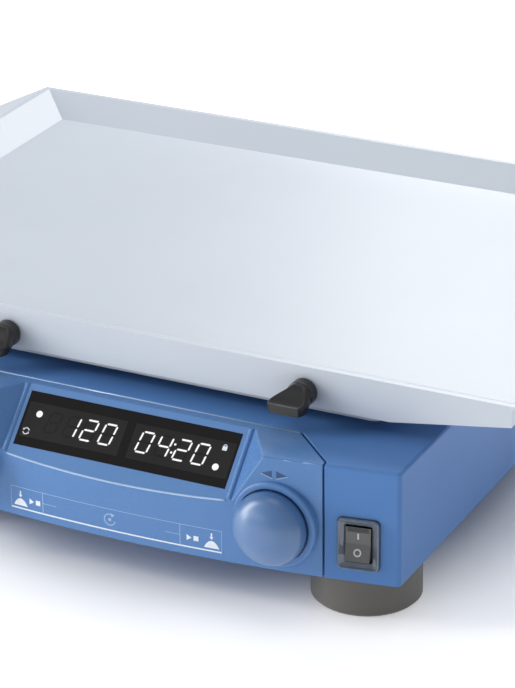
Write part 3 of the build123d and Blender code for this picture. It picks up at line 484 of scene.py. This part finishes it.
def build_orbit_mark(marks):
    """Plain circling arrow in the middle of the strip, between two short rules."""
    x = (DIVIDER_LEFT + DIVIDER_RIGHT) / 2
    z = (STRIP_LOW + STRIP_HIGH) / 2
    rule = 7.1 * MM
    marks += ring_outlines(x, z, 3.0 * MM, 2.5 * MM, 28, math.radians(60), math.radians(290))
    tip = math.radians(60)
    marks.append([
        (x + 2.75 * MM * math.cos(tip) + 1.2 * MM * math.cos(tip + 1.2 + a),
         z + 2.75 * MM * math.sin(tip) + 1.2 * MM * math.sin(tip + 1.2 + a))
        for a in (0, 2.094, 4.189)
    ])
    marks += ring_outlines(x, z, 0.8 * MM, 0.1 * MM, 16)
    for start in (DIVIDER_LEFT, DIVIDER_RIGHT - rule):
        marks += bar_outlines(start, start + rule, z - 0.13 * MM, z + 0.13 * MM, 4)


# ---------------------------------------------------------------- moulded lips of the front panel, coloured lighter as a painted highlight
LIP_RADIUS = 0.5 * MM
LIP_SINK = 0.2 * MM
PANEL_CUT = 22.0 * MM              # cut rear corners of the panel


def add_lip(name, path):
    """Slim round rib along a path that runs mostly left to right, in a lighter blue that is a painted
    highlight.
    """
    verts = []
    faces = []
    sides = 12
    for point in path:
        for i in range(sides):
            a = 2 * math.pi * i / sides
            verts.append(point + Vector((0, LIP_RADIUS * math.cos(a), LIP_RADIUS * math.sin(a))))
    for row in range(len(path) - 1):
        a, b = row * sides, (row + 1) * sides
        for i in range(sides):
            j = (i + 1) % sides
            faces.append([a + i, a + j, b + j, b + i])
    faces.append(list(reversed(range(sides))))
    faces.append([len(verts) - sides + i for i in range(sides)])
    data = mesh_from(name, verts, faces)
    for face in data.polygons:
        face.use_smooth = len(face.vertices) == 4
    add_object(name, data, "base", materials["lip_painted_highlight"])


def build_lips():
    """One lip where the display slope meets the bowed front, one along the panel's rear seam; both carry a
    painted highlight line.
    """
    half = 55.6 * MM
    steps = 48
    rise = WINDOW_FACE.z - WINDOW_FACE.y - PANE_PROUD * math.sqrt(2)
    front_lip = []
    for i in range(steps + 1):
        x = half * (2 * i / steps - 1)
        y = front_y(x)
        front_lip.append(Vector((x, y + LIP_SINK, y + rise - LIP_SINK)))
    add_lip("slope_lip", front_lip)
    reach = panel_high.x - PANEL_CUT
    y = panel_high.y - LIP_RADIUS
    z = panel_high.z - LIP_SINK
    add_lip("seam_lip", [Vector((-reach, y, z)), Vector((reach, y, z))])


# ---------------------------------------------------------------- marks above the knobs: painted shade and painted highlight for engraved triangles
def build_turn_marks():
    """Left and right triangles above each knob, dark as painted shade, each with a pale lower edge as a
    painted highlight.
    """
    dark = []
    light = []
    for name in ("knob_left", "knob_right"):
        low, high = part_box(name)
        x = (low.x + high.x) / 2
        z = high.z + 6.8 * MM
        for side in (-1, 1):
            a = x + side * 1.0 * MM
            b = x + side * 6.2 * MM
            dark.append([(a, z + 1.8 * MM), (a, z - 1.8 * MM), (b, z)])
            light.append([(a, z - 1.8 * MM), (b, z), (b, z - 0.35 * MM), (a, z - 2.2 * MM)])
    add_object("turn_marks", plate_mesh("turn_marks", dark, on_front, INK), "base",
               materials["engraving_painted_shade"])
    add_object("turn_marks_painted_highlight", plate_mesh("turn_marks_painted_highlight", light, on_front, INK), "base",
               materials["pale_print_and_highlight"])


# ---------------------------------------------------------------- power switch
SWITCH_X = 116.8 * MM
SWITCH_LEAN = math.atan(SWITCH_X / FRONT_RADIUS)
SWITCH_RIGHT = Vector((math.cos(SWITCH_LEAN), math.sin(SWITCH_LEAN), 0))
SWITCH_OUT = Vector((math.sin(SWITCH_LEAN), -math.cos(SWITCH_LEAN), 0))
SWITCH_FACE = Vector((SWITCH_X, front_y(SWITCH_X), (cover_low.z + cover_high.z) / 2))
COVER_WIDE = 19.5 * MM
COVER_HIGH = cover_high.z - cover_low.z - 0.1 * MM
PIVOT_DEPTH = 1.6 * MM
ROCKER_LEAN = math.radians(10)
ROCKER_HALF = 7.85 * MM
ROCKER_TOP = 2.6 * MM              # how far the rocker's ends stand out


def on_switch(u, v, h):
    return SWITCH_FACE + SWITCH_RIGHT * u + Vector((0, 0, v)) + SWITCH_OUT * h


def on_rocker(u, v, h):
    """A point on the rocker's two-lobed face: v up from its valley, h out of the face."""
    face = ROCKER_TOP + (abs(v) - ROCKER_HALF) * math.tan(ROCKER_LEAN) + PIVOT_DEPTH + h
    up = v * math.cos(ROCKER_LEAN) + face * math.sin(ROCKER_LEAN)
    out = face * math.cos(ROCKER_LEAN) - v * math.sin(ROCKER_LEAN)
    return on_switch(u, up, out - PIVOT_DEPTH)


def nested_skin(name, levels):
    """Skin through rounded rectangles (wide, high, corner, height) on the switch's plane."""
    verts = []
    faces = []
    for wide, high, corner, h in levels:
        verts += [on_switch(u, v, h) for u, v in rounded_outline(0, 0, wide, high, corner)]
    count = len(verts) // len(levels)
    for level in range(len(levels) - 1):
        a, b = level * count, (level + 1) * count
        for i in range(count):
            j = (i + 1) % count
            faces.append([a + i, a + j, b + j, b + i])
    data = mesh_from(name, verts, faces)
    for face in data.polygons:
        face.use_smooth = True
    return data


def build_switch_cover():
    """Splash cover: rounded rim, walls sloping in and an open window over the rocker."""
    wide = COVER_WIDE
    high = COVER_HIGH
    rim = [
        (wide - 0.7 * MM, high - 0.7 * MM, 2.3 * MM, 0.1 * MM),
        (wide - 0.7 * MM, high - 0.7 * MM, 2.3 * MM, 1.5 * MM),
        (wide - 1.0 * MM, high - 1.0 * MM, 2.2 * MM, 1.95 * MM),
        (wide - 1.5 * MM, high - 1.5 * MM, 2.0 * MM, 2.2 * MM),
        (wide - 2.1 * MM, high - 2.1 * MM, 1.8 * MM, 2.1 * MM),
        (wide - 2.6 * MM, high - 2.6 * MM, 1.5 * MM, 1.5 * MM),
        (wide - 5.6 * MM, high - 6.0 * MM, 0.9 * MM, 0.5 * MM),
        (wide - 6.9 * MM, high - 7.0 * MM, 0.8 * MM, 0.3 * MM),
        (wide - 6.9 * MM, high - 7.0 * MM, 0.8 * MM, 0.1 * MM),
        (wide - 0.7 * MM, high - 0.7 * MM, 2.3 * MM, 0.1 * MM),
    ]
    cover = add_object("splash_cover", nested_skin("splash_cover", rim), "base",
                       materials["clear_grey"])
    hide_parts("switch_cover")
    outline = [
        (wide, high, 2.5 * MM, 0.1 * MM),
        (wide, high, 2.5 * MM, 0.5 * MM),
        (wide - 0.9 * MM, high - 0.9 * MM, 2.3 * MM, 0.6 * MM),
        (wide - 0.9 * MM, high - 0.9 * MM, 2.3 * MM, 0.1 * MM),
        (wide, high, 2.5 * MM, 0.1 * MM),
    ]
    gasket = add_object("cover_gasket", nested_skin("cover_gasket", outline), "base",
                        materials["gasket_dark"])
    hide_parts("switch_cover")


def build_rocker_marks():
    """Bar for on, ring for off, and fine ribs along the top of the rocker."""
    marks = bar_outlines(-0.35 * MM, 0.35 * MM, 2.2 * MM, 5.0 * MM)
    marks += ring_outlines(0, -3.9 * MM, 1.75 * MM, 1.15 * MM, 28)
    add_object("rocker_marks", plate_mesh("rocker_marks", marks, on_rocker, INK), "power_rocker",
               materials["print_grey"])
    ribs = []
    for i in range(6):
        v = (5.6 + 0.36 * i) * MM
        ribs += bar_outlines(-4.9 * MM, 4.9 * MM, v, v + 0.2 * MM)
    add_object("rocker_ribs", plate_mesh("rocker_ribs", ribs, on_rocker, INK), "power_rocker",
               materials["black_plastic"])


# ---------------------------------------------------------------- stage, light and camera
CAMERA_PLACE = Vector((0.61545, -1.24520, 0.67441))
CAMERA_TURN = 26.5                 # degrees to the right of the front
CAMERA_PITCH = 24.11               # degrees above level
CAMERA_ROLL = -0.55
CAMERA_LENS = 163.6                # millimetres, on a 36 mm sensor


def build_camera():
    a, e, r = (math.radians(v) for v in (CAMERA_TURN, CAMERA_PITCH, CAMERA_ROLL))
    back = Vector((math.sin(a) * math.cos(e), -math.cos(a) * math.cos(e), math.sin(e)))
    level = Vector((math.cos(a), math.sin(a), 0))
    above = back.cross(level)
    right = level * math.cos(r) + above * math.sin(r)
    up = above * math.cos(r) - level * math.sin(r)
    data = bpy.data.cameras.new("camera")
    data.lens = CAMERA_LENS
    data.sensor_width = 36.0
    camera = bpy.data.objects.new("camera", data)
    camera.matrix_world = Matrix((
        (right.x, up.x, back.x, CAMERA_PLACE.x),
        (right.y, up.y, back.y, CAMERA_PLACE.y),
        (right.z, up.z, back.z, CAMERA_PLACE.z),
        (0, 0, 0, 1),
    ))
    bpy.context.scene.collection.objects.link(camera)
    bpy.context.scene.camera = camera


def soft_light(name, place, target, size, watts):
    data = bpy.data.lights.new(name, "AREA")
    data.shape = "RECTANGLE"
    data.size, data.size_y = size
    data.energy = watts
    lamp = bpy.data.objects.new(name, data)
    lamp.location = place
    lamp.rotation_euler = (Vector(target) - Vector(place)).to_track_quat("-Z", "Y").to_euler()
    bpy.context.scene.collection.objects.link(lamp)


def floor_material():
    """White paper that glows a little away from the machine, so that it runs into the background."""
    half_wide = 0.19               # the oval under the machine that doesn't glow
    half_deep = 0.21
    glow = 0.42
    material = grained("studio_floor", (0.90, 0.90, 0.905), (0.92, 0.92, 0.925), (0.5, 0.6),
                       60.0, 0.01 * MM)
    tree = material.node_tree
    shader = tree.nodes["Principled BSDF"]
    coords = tree.nodes.new("ShaderNodeTexCoord")
    shrink = tree.nodes.new("ShaderNodeMapping")
    shrink.inputs["Scale"].default_value = (1 / half_wide, 1 / half_deep, 1)
    away = tree.nodes.new("ShaderNodeVectorMath")
    away.operation = "LENGTH"
    rise = tree.nodes.new("ShaderNodeMapRange")
    rise.interpolation_type = "SMOOTHSTEP"
    rise.inputs["From Min"].default_value = 0.62
    rise.inputs["From Max"].default_value = 1.02
    rise.inputs["To Min"].default_value = 0.0
    rise.inputs["To Max"].default_value = glow
    tree.links.new(coords.outputs["Object"], shrink.inputs["Vector"])
    tree.links.new(shrink.outputs["Vector"], away.inputs[0])
    tree.links.new(away.outputs["Value"], rise.inputs["Value"])
    tree.links.new(rise.outputs["Result"], shader.inputs["Emission Strength"])
    shader.inputs["Emission Color"].default_value = (1, 1, 1, 1)
    return material


def build_stage():
    """Round pale floor that fades into the white background."""
    steps = 96
    radius = 6.0
    data = mesh_from(
        "floor",
        [(radius * math.cos(2 * math.pi * i / steps), radius * math.sin(2 * math.pi * i / steps), 0)
         for i in range(steps)],
        [list(range(steps))],
    )
    floor = bpy.data.objects.new("floor", data)
    bpy.context.scene.collection.objects.link(floor)
    data.materials.append(floor_material())


def build_light():
    """An even room, a wide soft light behind, a tall one at the left, and weak fills above and in front."""
    world = bpy.data.worlds.new("studio")
    world.use_nodes = True
    room = world.node_tree.nodes["Background"]
    room.inputs["Color"].default_value = (0.975, 0.985, 1.0, 1)
    room.inputs["Strength"].default_value = 0.38
    bpy.context.scene.world = world
    soft_light("behind", (0.15, 1.40, 1.20), (0, 0, 0.08), (1.9, 1.1), 28.0)
    soft_light("top", (0, 0, 1.9), (0, 0, 0.05), (0.9, 0.9), 3.0)
    soft_light("left", (-1.42, -0.85, 0.68), (0, -0.1, 0.06), (0.40, 1.3), 21.0)
    soft_light("high_left", (-0.70, -0.85, 1.30), (0, -0.15, 0.06), (0.5, 0.5), 0.7)
    soft_light("front", (-0.75, -1.60, 0.56), (0, -0.1, 0.06), (1.1, 0.12), 2.2)
    bpy.context.scene.view_settings.view_transform = "Standard"


# ---------------------------------------------------------------- build
assign_cad_materials()
build_display()
build_strip()
build_lips()
build_turn_marks()
build_switch_cover()
build_rocker_marks()
build_stage()
build_light()
build_camera()
